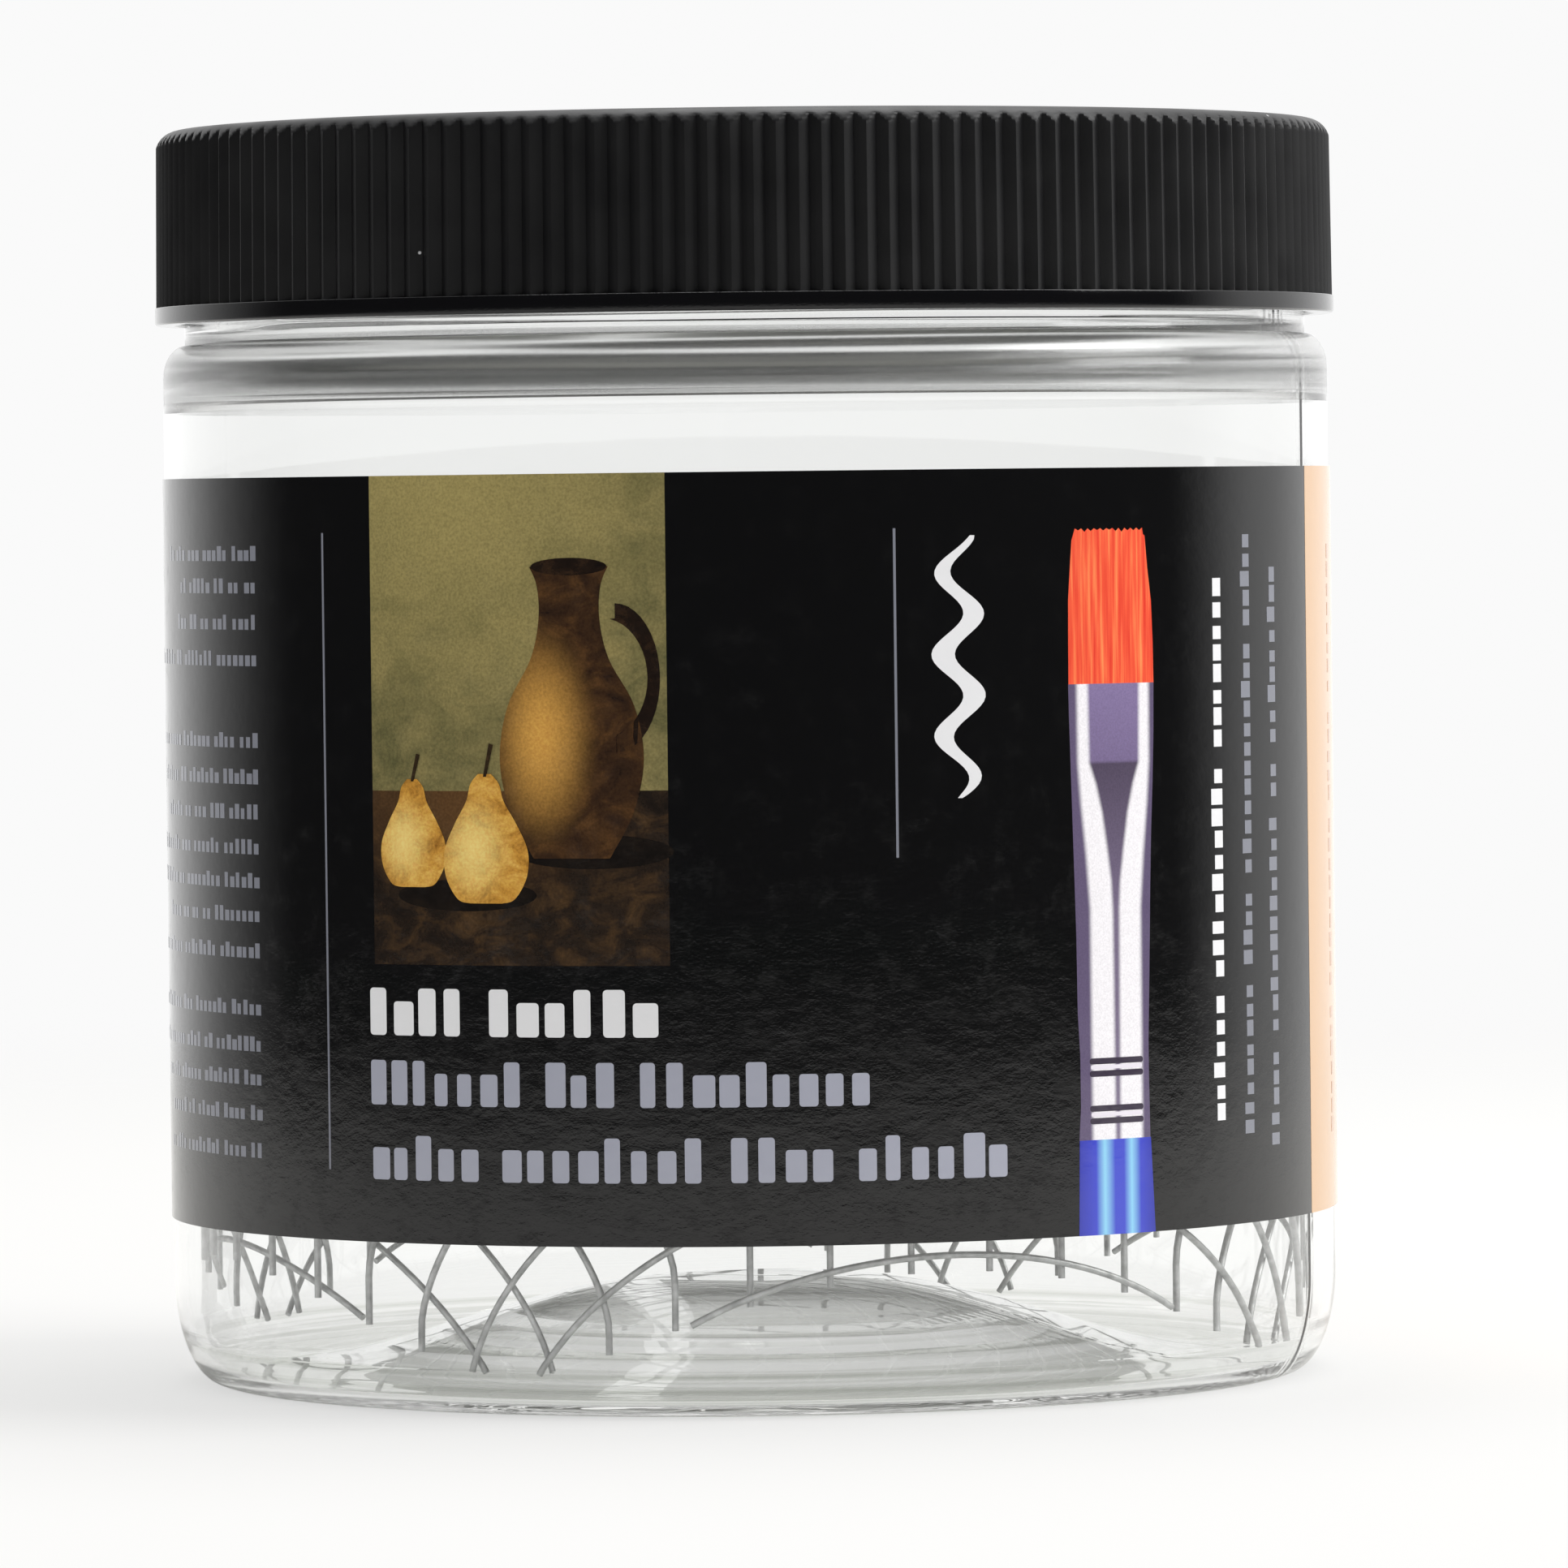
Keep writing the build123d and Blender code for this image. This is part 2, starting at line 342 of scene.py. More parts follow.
inside = (
    domeRows(jar["baseThickness"])
    + quarterRound(heelMiddle, wallRadius - footOuter, jar["heelHeight"] - jar["baseThickness"],
                   270, jar["heelSteps"])
    + quarterRound((boreRadius, shoulder - jar["shoulderSwell"]), wallRadius - boreRadius,
                   jar["insideRise"], 0, jar["shoulderSteps"])
    + quarterRound((boreRadius + rimRound, rimMiddle), rimRound, rimRound, 90, edgeSteps)[::-1]
)
bm = spinOutline(outside + inside[::-1], jar["stepsRound"])
for vert in bm.verts:
    radius = math.hypot(vert.co.x, vert.co.y)
    height = vert.co.z / mm
    if abs(radius / mm - jar["neckRadius"]) < hair and height < rimMiddle:
        angle = math.atan2(vert.co.y, vert.co.x) % fullTurn
        rise = neckThread["depth"] * mm * threadRise(neckThread, angle, height)
        vert.co.xy *= 1 + rise / radius
finishPiece("clearJar", bm, makeClearPlastic(jarLook), "jar", ["jar"],
            sharpAngle=50)
print("jar made")


# label: printed film wrapped round the jar, with its ends apart near the back

label = {
    "inside": 46.15, "thickness": 0.12, "foot": 13.1, "top": 71.4, "seam": 5.6,
    "seamBearing": 194.5,  # degrees round to the right from the front
    "inkThickness": 0.012, "inkSunk": 0.004, "sliceWidth": 1.2,
    "panel": (56.4, 103.0),  # the coloured panel's left and right edge
    "rules": [(-35.86, 18.5, -35.66, 67.1), (11.1, 42.2, 11.3, 67.0)],
}
labelFilm = plainFilm("labelFilm", 13, 13, 14)
whiteInk = plainFilm("whiteInk", 236, 236, 238)
lavenderInk = plainFilm("lavenderInk", 168, 170, 184)
greyInk = plainFilm("greyInk", 128, 130, 140)
orangeInk = plainFilm("orangeInk", 214, 173, 131)
brownInk = plainFilm("brownInk", 196, 142, 96)
filmRadius = label["inside"] + label["thickness"]


def makeLabelBack():
    finish, tree, shader = startFinish("labelBack", printColour(236, 236, 232), 0.5)
    bumpFrom(tree, shader, noiseOn(tree, objectPlace(tree), 1.5, 3), 0.01, 0.4)
    return finish


def wrapOnJar(name, outlines, material, layer=1, nodes=()):
    # outlines are drawn flat, as (distance right of the front, height), cut into narrow
    # strips and bent round the jar; layer 0 is the film, and inks lie over it in order
    if layer:
        low = filmRadius + (layer - 1) * label["inkThickness"] - label["inkSunk"]
        high = filmRadius + layer * label["inkThickness"]
    else:
        low, high = label["inside"], filmRadius
    bm = bmesh.new()
    uvs = bm.loops.layers.uv.new("print")
    for outline in outlines:
        bm.faces.new([bm.verts.new((x * mm, 0, z * mm)) for x, z in outline])
    left = min(v.co.x for v in bm.verts)
    wide = max(v.co.x for v in bm.verts) - left
    foot = min(v.co.z for v in bm.verts)
    tall = max(v.co.z for v in bm.verts) - foot
    strips = math.ceil(wide / (label["sliceWidth"] * mm))
    for n in range(1, strips):
        bmesh.ops.bisect_plane(
            bm, geom=bm.verts[:] + bm.edges[:] + bm.faces[:],
            plane_co=(left + wide * n / strips, 0, 0), plane_no=(1, 0, 0),
        )
    # until the piece is bent, y tells its outer side from its inner
    thick = bmesh.ops.extrude_face_region(bm, geom=bm.faces[:], use_keep_orig=True)
    for vert in [part for part in thick["geom"] if isinstance(part, bmesh.types.BMVert)]:
        vert.co.y = 1
    for face in bm.faces:
        for loop in face.loops:
            loop[uvs].uv = ((loop.vert.co.x - left) / wide, (loop.vert.co.z - foot) / tall)
    for vert in bm.verts:
        radius = (high if vert.co.y > 0.5 else low) * mm
        turn = vert.co.x / (label["inside"] * mm)
        vert.co.xy = radius * math.sin(turn), -radius * math.cos(turn)
    if not layer:
        for face in bm.faces:
            face.material_index = int(face.calc_center_median().xy.length < (low + high) / 2 * mm)
    return finishPiece(name, bm, material, "jar", nodes, sharpAngle=50)


def bar(left, foot, right, top, rounding=0.0):
    # an upright rectangle, its corners rounded
    if not rounding:
        return [(left, foot), (right, foot), (right, top), (left, top)]
    corners = []
    for x, z, start in (
        (right - rounding, top - rounding, 0), (left + rounding, top - rounding, 90),
        (left + rounding, foot + rounding, 180), (right - rounding, foot + rounding, 270),
    ):
        corners += quarterRound((x, z), rounding, rounding, start, 4)
    return corners


block = {"widths": (0.55, 0.85), "heights": (0.72, 0.72, 1.0), "space": 0.7}
draw = random.Random(11)


def blockLine(start, low, high, pitch, words, upright=False, rounding=0.0):
    # a line of small blocks in place of letters: words lists how many each word has
    blocks = []
    for count in words:
        for n in range(count):
            wide = pitch * draw.uniform(*block["widths"])
            top = low + (high - low) * draw.choice(block["heights"])
            if upright:
                blocks.append(bar(high - top + low, start, high, start + wide, rounding))
            else:
                blocks.append(bar(start, low, start + wide, top, rounding))
            start += pitch
        start += pitch * block["space"]
    return blocks


rightEnd = math.radians(label["seamBearing"]) * label["inside"] - label["seam"] / 2
leftEnd = rightEnd + label["seam"] - fullTurn * label["inside"]
film = wrapOnJar("labelFilm", [bar(leftEnd, label["foot"], rightEnd, label["top"])], labelFilm,
                 0, ["label"])
film.data.materials.append(makeLabelBack())
panelLeft, panelRight = label["panel"]
wrapOnJar("orangePanel", [bar(panelLeft, label["foot"], panelRight, label["top"])], orangeInk)
wrapOnJar("thinRules", [bar(*rule) for rule in label["rules"]], greyInk)

# small blocks where a label has its lines of text: a line's start, its low and high edge,
# the blocks' pitch and how many each word has
titleLine = (-31.3, 28.9, 32.5, 2.3, [4, 6])
subtitleLines = [
    (-31.3, 23.6, 27.0, 2.0, [7, 3, 9]),
    (-31.2, 17.9, 21.3, 2.05, [5, 8, 4, 6]),
]
sideText = {
    "right": -43.9, "height": 1.15, "pitch": 0.95, "wordCount": 5, "shortest": 2, "longest": 8,
    "rows": [65.0, 62.5, 59.7, 56.9, 50.6, 47.8, 45.1, 42.4, 39.8, 37.2, 34.4, 30.0, 27.2, 24.6,
             21.9, 19.0],
}
uprightTitle = (21.2, 40.2, 41.6, 1.65, [6, 10, 8])
uprightLines = [
    (20.0, 44.3, 45.6, 1.5, [8, 4, 12, 5]),
    (18.9, 48.4, 49.7, 1.55, [5, 11, 2, 9]),
]
panelLine = (19.0, 63.7, 64.9, 1.5, [7, 9, 5, 8])

wrapOnJar("titleBlocks", blockLine(*titleLine, rounding=0.3), whiteInk)
wrapOnJar("subtitleBlocks",
          sum((blockLine(*line, rounding=0.25) for line in subtitleLines), []), lavenderInk)
sideBlocks = []
for row in sideText["rows"]:
    words = [draw.randint(sideText["shortest"], sideText["longest"])
             for word in range(sideText["wordCount"])]
    wide = (sum(words) + block["space"] * (len(words) - 1)) * sideText["pitch"]
    sideBlocks += blockLine(sideText["right"] - wide, row, row + sideText["height"],
                            sideText["pitch"], words)
wrapOnJar("sideTextBlocks", sideBlocks, greyInk)
wrapOnJar("uprightTitleBlocks", blockLine(*uprightTitle, upright=True), whiteInk)
wrapOnJar("uprightTextBlocks",
          sum((blockLine(*line, upright=True) for line in uprightLines), []), greyInk)
wrapOnJar("panelTextBlocks", blockLine(*panelLine, upright=True), brownInk, 2)

# a painted wave, running down the label
wave = {
    "across": 16.2, "foot": 46.6, "top": 66.4, "swing": 1.25, "swings": 3.2, "width": 1.5,
    "endShare": 0.25, "fullness": 0.6, "steps": 60,
}
leftEdge, rightEdge = [], []
for n in range(wave["steps"] + 1):
    share = n / wave["steps"]
    x = wave["across"] + wave["swing"] * math.sin(fullTurn * wave["swings"] * share)
    z = wave["foot"] + (wave["top"] - wave["foot"]) * share
    half = wave["width"] / 2 * (wave["endShare"] + math.sin(math.pi * share) ** wave["fullness"])
    leftEdge.append((x - half, z))
    rightEdge.append((x + half, z))
wrapOnJar("paintedWave", [rightEdge + leftEdge[::-1]], whiteInk)
print("label made")


# brush printed on the label: bristles, ferrule and handle

brush = {
    "left": 25.45, "right": 33.72, "middle": 29.7, "tip": 66.8, "bristleFoot": 55.0,
    "foldTop": 49.0, "handleTop": 20.35,
    "tuftCount": 11, "tuftDepth": 0.3, "tuftsRight": 32.7, "tuftsWidth": 6.5,
    "bristleCorner": 25.48, "ferruleFoot": (26.03, 32.9),
    "handleNeck": (26.06, 32.95), "handleFoot": (25.93, 33.35),
    # heights, left, right, thickness and rounding
    "crimps": ((26.1, 25.15, 22.5, 21.55), 27.05, 32.2, 0.46, 0.2),
    "crimpShines": ((25.72, 22.12), 27.15, 32.1, 0.3, 0.1),
    # sides are (across, height), from the foot up
    "bristlesRight": [(33.68, 58.1), (33.55, 61.2), (33.2, 63.7), (32.95, 66.2), (32.78, 66.3)],
    "bristlesLeft": [(25.5, 58.9), (25.53, 61.4), (25.71, 63.8), (25.89, 65.9)],
    "ferruleRight": [(32.81, 25.3), (32.81, 27.8), (32.97, 32.8), (33.14, 39.0), (33.29, 43.3),
                     (33.52, 47.6), (33.66, 51.3)],
    "ferruleLeft": [(26.2, 22.9), (26.18, 26.9), (26.0, 30.0), (25.94, 36.1), (25.84, 39.8),
                    (25.69, 45.4), (25.59, 49.0), (25.49, 52.7)],
}


def makeBristleInk():
    # red at the ferrule and yellow at the tips, in streaks
    finish, tree, shader = filmFinish("bristleInk", printColour(244, 100, 66))
    streaks = noiseOn(tree, objectPlace(tree, (0.022, 0.0011, 1), "UV"), 1, 3)
    body = rampOf(tree, streaks, [
        (0.3, printColour(226, 62, 48)), (0.5, printColour(246, 96, 66)),
        (0.7, printColour(255, 150, 92))])
    tips = calculate(tree, "MULTIPLY_ADD", streaks, 0.24, printShare(tree, 1))
    tips = rampOf(tree, tips, [(1.02, 0), (1.08, 1)])
    colour = mixColours(tree, tips, body, printColour(252, 196, 84))
    tree.links.new(colour, shader.inputs["Base Color"])
    return finish


def upFerrule(tree, *stops):
    # stops are (height, value), from the ferrule's foot to its top
    foot = brush["handleTop"]
    tall = brush["bristleFoot"] - foot
    stops = [((height - foot) / tall, value) for height, value in stops]
    return rampOf(tree, printShare(tree, 1), stops)


def sideOf(tree, value, edge, soft):
    # 0 on the near side of the edge and 1 beyond it
    past = calculate(tree, "SUBTRACT", value, edge)
    return remap(tree, past, -soft, soft, kind="SMOOTHSTEP")


def makeFerruleInk():
    # a tube pinched flat at its top, whose half widths are shares of the unit
    unit = 4
    finish, tree, shader = filmFinish("ferruleInk", printColour(190, 180, 205))
    foot, foldTop, top = brush["handleTop"], brush["foldTop"], brush["bristleFoot"]
    wide = (brush["right"] - brush["left"]) / unit
    offset = (brush["left"] - brush["middle"]) / unit
    fromMiddle = calculate(tree, "MULTIPLY_ADD", printShare(tree, 0), wide, offset)
    fromMiddle = calculate(tree, "ABSOLUTE", fromMiddle)
    fold = upFerrule(tree, (foot, 0.06), (37.8, 0.08), (40, 0.11), (42.5, 0.2), (45.2, 0.31),
                     (47.4, 0.45), (foldTop, 0.6), (top, 0.62))
    bright = upFerrule(tree, (foot, 0.6), (38, 0.61), (42, 0.69), (46, 0.8), (foldTop, 0.86),
                       (top, 0.87))
    flat = upFerrule(
        tree, (foot, printColour(132, 120, 146)), (38, printColour(122, 110, 136)),
        (foldTop - 0.1, printColour(88, 78, 98)), (foldTop + 0.15, printColour(128, 113, 151)),
        (top, printColour(140, 124, 166)))
    sheen = mixColours(tree, sideOf(tree, fromMiddle, fold, 0.06), flat,
                       printColour(253, 250, 254))
    sheen = mixColours(tree, sideOf(tree, fromMiddle, bright, 0.07), sheen,
                       printColour(104, 92, 122))
    speckle = rampOf(tree, noiseOn(tree, objectPlace(tree), 0.14, 2), [(0.35, 0.35), (0.65, 1.0)])
    colour = mixColours(tree, 0.22, sheen, speckle, "MULTIPLY")
    tree.links.new(colour, shader.inputs["Base Color"])
    return finish


def makeHandleInk():
    # round enamel: two pale gleams along it
    finish, tree, shader = filmFinish("handleInk", printColour(70, 92, 205))
    sheen = rampOf(tree, printShare(tree, 0), [
        (0.0, printColour(54, 60, 172)), (0.22, printColour(66, 76, 204)),
        (0.33, printColour(150, 214, 244)), (0.46, printColour(68, 80, 206)),
        (0.58, printColour(68, 80, 206)), (0.68, printColour(146, 210, 243)),
        (0.8, printColour(64, 74, 202)), (1.0, printColour(50, 56, 164)),
    ])
    tree.links.new(sheen, shader.inputs["Base Color"])
    return finish


tips = []
for n in range(2 * brush["tuftCount"] + 1):
    share = n / (2 * brush["tuftCount"])
    dip = (brush["tuftDepth"] if n % 2 else 0) * draw.uniform(0.4, 1)
    tips.append((brush["tuftsRight"] - share * brush["tuftsWidth"], brush["tip"] - dip))
foot, neck, collar = label["foot"], brush["handleTop"], brush["bristleFoot"]
bristles = (
    [(brush["bristleCorner"], collar), (brush["right"], collar)]
    + brush["bristlesRight"] + tips + brush["bristlesLeft"][::-1]
)
ferrule = (
    [(across, neck) for across in brush["ferruleFoot"]] + brush["ferruleRight"]
    + [(brush["right"], collar), (brush["left"], collar)] + brush["ferruleLeft"][::-1]
)
handle = [(across, foot) for across in brush["handleFoot"]] + [
    (across, neck) for across in brush["handleNeck"][::-1]]


def crossBars(heights, left, right, thickness, rounding):
    return [bar(left, height, right, height + thickness, rounding) for height in heights]


wrapOnJar("printedBristles", [bristles], makeBristleInk())
wrapOnJar("printedFerrule", [ferrule], makeFerruleInk())
wrapOnJar("printedCrimps", crossBars(*brush["crimps"]), plainFilm("crimpInk", 62, 54, 70), 2)
wrapOnJar("printedCrimpShine", crossBars(*brush["crimpShines"]),
          plainFilm("crimpShine", 236, 230, 240), 2)
wrapOnJar("printedHandle", [handle], makeHandleInk())
print("brush printed")


# picture on the label: a still life of a jug and pears on a table

picture = {
    "left": -30.8, "right": -6.1, "foot": 34.3, "top": 71.4, "tableTop": 47.5,
    # middle, width and height of each shadow on the table
    "shadows": [((-12.0, 42.9), 12.6, 2.6), ((-22.4, 39.6), 12.0, 2.4)],
}
paints = {  # dark, middle and light colour, then the patches' size
    "wallPaint": ((84, 84, 54), (126, 117, 76), (152, 138, 88), 6),
    "tablePaint": ((24, 20, 18), (44, 34, 26), (84, 62, 38), 3),
    "jugPaint": ((38, 26, 20), (62, 42, 26), (96, 66, 36), 3),
    "jugMouthPaint": ((20, 15, 13), (34, 24, 18), (60, 42, 28), 2),
    "pearPaint": ((150, 100, 36), (206, 150, 62), (236, 190, 98), 2),
    "stalkPaint": ((30, 24, 16), (52, 40, 26), (72, 54, 34), 2),
    "shadePaint": ((18, 15, 13), (26, 21, 18), (36, 29, 22), 2),
}
glows = {  # a lit spot: its place on the print, its reach and its colour
    "wallPaint": ((0.3, 1.0), 1.1, (160, 146, 92)),
    "tablePaint": ((0.35, 0.9), 0.6, (96, 68, 40)),
    "jugPaint": ((0.3, 0.42), 0.42, (214, 160, 78)),
    "pearPaint": ((0.36, 0.42), 0.5, (246, 214, 128)),
}


def makePaint(name):
    # oil paint on canvas: patches of three near colours, and a lit spot
    *colours, size = paints[name]
    dark, middle, light = [printColour(*colour) for colour in colours]
    finish, tree, shader = filmFinish(name, middle)
    patches = noiseOn(tree, objectPlace(tree, (1, 1, 1.4)), size, 6, 0.65, 0.6)
    colour = rampOf(tree, patches, [(0.3, dark), (0.5, middle), (0.72, light)])
    if name in glows:
        spot, reach, tint = glows[name]
        place = addNode(tree, "TexCoord").outputs["UV"]
        distance = addNode(tree, "VectorMath", {0: place, 1: (*spot, 0)}, operation="DISTANCE")
        share = rampOf(tree, distance.outputs["Value"], [(0.0, 1), (reach, 0)], "EASE")
        colour = mixColours(tree, share, colour, printColour(*tint))
    canvas = rampOf(tree, noiseOn(tree, objectPlace(tree), 0.2, 2), [(0.3, 0.2), (0.7, 0.8)])
    colour = mixColours(tree, 0.3, colour, canvas, "OVERLAY")
    tree.links.new(colour, shader.inputs["Base Color"])
    return finish


paint = {name: makePaint(name) for name in paints}
wrapOnJar("paintedWall", [bar(picture["left"], picture["tableTop"], picture["right"],
                              picture["top"])], paint["wallPaint"])
wrapOnJar("paintedTable", [bar(picture["left"], picture["foot"], picture["right"],
                               picture["tableTop"])], paint["tablePaint"])


def ellipse(middle, width, height, corners=40):
    return [
        (middle[0] + width / 2 * math.cos(fullTurn * n / corners),
         middle[1] + height / 2 * math.sin(fullTurn * n / corners)) for n in range(corners)
    ]


def mirroredOutline(middle, foot, halves, stepsEach=6):
    # halves are (height above the foot, half width), from the foot up, joined by a smooth
    # curve through them all
    points = []
    for first, second, third, fourth in zip([halves[0]] + halves, halves, halves[1:],
                                            halves[2:] + [halves[-1]]):
        for n in range(stepsEach):
            t = n / stepsEach
            points.append(tuple(
                0.5 * (2 * second[i] + (third[i] - first[i]) * t
                       + (2 * first[i] - 5 * second[i] + 4 * third[i] - fourth[i]) * t**2
                       + (3 * second[i] - first[i] - 3 * third[i] + fourth[i]) * t**3)
                for i in (0, 1)))
    points.append(halves[-1])
    return ([(middle + half, foot + height) for height, half in points]
            + [(middle - half, foot + height) for height, half in points[::-1]])


jug = {
    "middle": -13.6, "foot": 42.4, "mouthHeight": 22.0, "mouthWidth": 6.0, "mouthDepth": 1.3,
    "handleMiddle": (-10.0, 56.0), "handleWidth": 3.4, "handleHeight": 5.6,
    "handleThickness": 0.95, "handleHole": 0.8,
    "halves": [(0, 3.0), (0.5, 3.3), (3.5, 4.9), (7.5, 5.7), (11.5, 5.0), (15.0, 3.1),
               (18.0, 2.4), (20.5, 2.5), (22.0, 3.1)],
}
pear = {
    "halves": [(0, 1.2), (0.3, 2.2), (1.8, 3.1), (3.6, 3.2), (5.4, 2.4), (7.0, 1.45),
               (8.2, 1.1), (8.9, 0.5)],
    "places": [(-27.0, 40.2, 0.92), (-20.6, 39.0, 1.1)],  # middle, foot and size of each
}
wrapOnJar("paintedShadows", [ellipse(*shadow) for shadow in picture["shadows"]],
          paint["shadePaint"], 2)
middle, width, height = jug["handleMiddle"], jug["handleWidth"], jug["handleHeight"]
bow = quarterRound(middle, width, height, -90, 10) + quarterRound(middle, width, height, 0, 10)
bowInside = [
    (x - jug["handleThickness"] if x > middle[0] + 0.4 else x,
     middle[1] + (z - middle[1]) * jug["handleHole"]) for x, z in bow
]
wrapOnJar("paintedJugHandle", [bow + bowInside[::-1]], paint["jugMouthPaint"], 3)
wrapOnJar("paintedJug", [mirroredOutline(jug["middle"], jug["foot"], jug["halves"])],
          paint["jugPaint"], 3)
mouth = ellipse((jug["middle"], jug["foot"] + jug["mouthHeight"]), jug["mouthWidth"],
                jug["mouthDepth"])
wrapOnJar("paintedJugMouth", [mouth], paint["jugMouthPaint"], 4)
for number, (middle, foot, size) in enumerate(pear["places"], 1):
    halves = [(height * size, half * size) for height, half in pear["halves"]]
    stalkFoot, stalkTop = foot + 8.7 * size, foot + 11.0 * size
    stalk = [(middle - 0.12, stalkFoot), (middle + 0.14, stalkFoot),
             (middle + 0.75, stalkTop - 0.1 * size), (middle + 0.4, stalkTop)]
    wrapOnJar(f"paintedPear{number}", [mirroredOutline(middle, foot, halves)],
              paint["pearPaint"], 3 + number)
    wrapOnJar(f"paintedStalk{number}", [stalk], paint["stalkPaint"], 4 + number)
print("picture painted")


# screen: wires of a square mesh, pressed into an upturned pan that stands in the jar

screen = {
    "pitch": 6.35, "wireRadius": 0.26, "layerHeight": 0.315, "radius": 43.4, "bend": 2.6,
    "reach": 48.9, "squareness": 3.0, "turn": 20.0, "top": 16.19, "wiresEachWay": 16, "step": 1.2,
}


def makeZincWire():
    finish, tree, shader = startFinish("zincWire", printColour(178, 179, 178), 0.45)
    shader.inputs["Metallic"].default_value = 0.7
    colour = rampOf(tree, noiseOn(tree, objectPlace(tree), 1.1, 4),
                    [(0.3, printColour(146, 147, 146)), (0.7, printColour(204, 205, 204))])
    tree.links.new(colour, shader.inputs["Base Color"])
    bumpFrom(tree, shader, noiseOn(tree, objectPlace(tree), 0.3, 3), 0.03, 0.7)
    return finish


def turnedRound(t):
    # how far round the pan's skirt the wire at t across the flat mesh has come
    radius, t = screen["radius"], min(abs(t), screen["radius"])
    return (t * math.sqrt(1 - (t / radius) ** 2) + radius * math.asin(t / radius)) / 2


def droppedDown(t):
    radius, t = screen["radius"], abs(t)
    return t * t / (2 * radius) if t < radius else t - radius / 2


def pressedPlace(u, v, layer):
    # pressing keeps every wire's length and only shears the square cells
    radius, bend = screen["radius"], screen["bend"]
    fromEdge = math.hypot(u, v) - radius
    bearing = math.atan2(abs(v), abs(u))
    if fromEdge > 0:
        bearing = math.pi / 4 + (turnedRound(v) - turnedRound(u)) / radius
        fromEdge = droppedDown(u) + droppedDown(v) - radius / 2
    if fromEdge < -bend:
        reach, height = radius + fromEdge, layer
    elif fromEdge < bend:
        lean = (1 + fromEdge / bend) * math.pi / 4
        reach = radius - bend + (bend + layer) * math.sin(lean)
        height = (bend + layer) * math.cos(lean) - bend
    else:
        reach, height = radius + layer, -fromEdge
    return Vector((math.copysign(reach * math.cos(bearing), u),
                   math.copysign(reach * math.sin(bearing), v), height))


def wireThrough(points):
    line = bpy.data.curves.new("wireLine", "CURVE")
    line.dimensions = "3D"
    line.bevel_depth = screen["wireRadius"] * mm
    line.bevel_resolution = 2
    line.use_fill_caps = True
    spline = line.splines.new("POLY")
    spline.points.add(len(points) - 1)
    for splinePoint, point in zip(spline.points, points):
        splinePoint.co = (*(point * mm), 1)
    lineObject = bpy.data.objects.new("wireLine", line)
    mesh = bpy.data.meshes.new_from_object(lineObject)
    bm = bmesh.new()
    bm.from_mesh(mesh)
    bpy.data.meshes.remove(mesh)
    bpy.data.objects.remove(lineObject)
    return bm


zincWire = makeZincWire()
wiresEachWay, reach, squareness = screen["wiresEachWay"], screen["reach"], screen["squareness"]
standing = Matrix.Translation((0, 0, screen["top"])) @ Matrix.Rotation(
    math.radians(screen["turn"] - 90), 4, "Z")
for kind, layer in (("warp", screen["layerHeight"]), ("weft", -screen["layerHeight"])):
    for number in range(1, wiresEachWay + 1):
        across = (number - 0.5 - wiresEachWay / 2) * screen["pitch"]
        half = reach * (1 - (abs(across) / reach) ** squareness) ** (1 / squareness)
        steps = math.ceil(2 * half / screen["step"])
        points = []
        for step in range(steps + 1):
            along = half * (2 * step / steps - 1)
            u, v = (across, along) if kind == "warp" else (along, across)
            points.append(standing @ pressedPlace(u, v, layer))
        finishPiece(f"screen{kind.title()}Wire{number:02}", wireThrough(points), zincWire,
                    "screen", [f"screen_{kind}_wire_{number:02}"], sharpAngle=60)
print("screen made")


# lid: a spun cap, its outside cut by V flutes that run out on the rounded corner

lid = {
    "foot": 83.5, "top": 98.8, "radius": 46.7, "bore": 45.0, "underside": 97.2, "draft": 0.6,
    "cornerWidth": 1.7, "cornerDrop": 1.9, "ribCount": 170, "ribDepth": 0.5, "ribLand": 0.2,
    "plainBand": 1.4, "bandRound": 0.1, "edgeRound": 0.25, "boreChamfer": 0.2, "fluteStep": 0.02,
    "stepsPerRib": 6, "boreRows": 26, "ribRows": (94, 91, 88), "topRings": (0, 12, 30),
}
lidThread = {
    "foot": 87.0, "pitch": 5.08, "turns": 1.2, "fade": 0.06, "footWidth": 2.2,
    "crestWidth": 0.7, "depth": 1.1, "start": 0.382,
}
lidLook = {
    "colour": printColour(12, 12, 14), "dust": printColour(190, 190, 192), "dustSize": 2.6,
    "gloss": 0.43, "smoothest": 0.38, "roughest": 0.5, "cloudSize": 5, "bandRoughness": 0.1,
    "grainSize": 0.16, "grainDepth": 0.012, "grainStrength": 0.6,
}
draftLean = math.tan(math.radians(lid["draft"]))
flutesLow = lid["foot"] + lid["plainBand"]


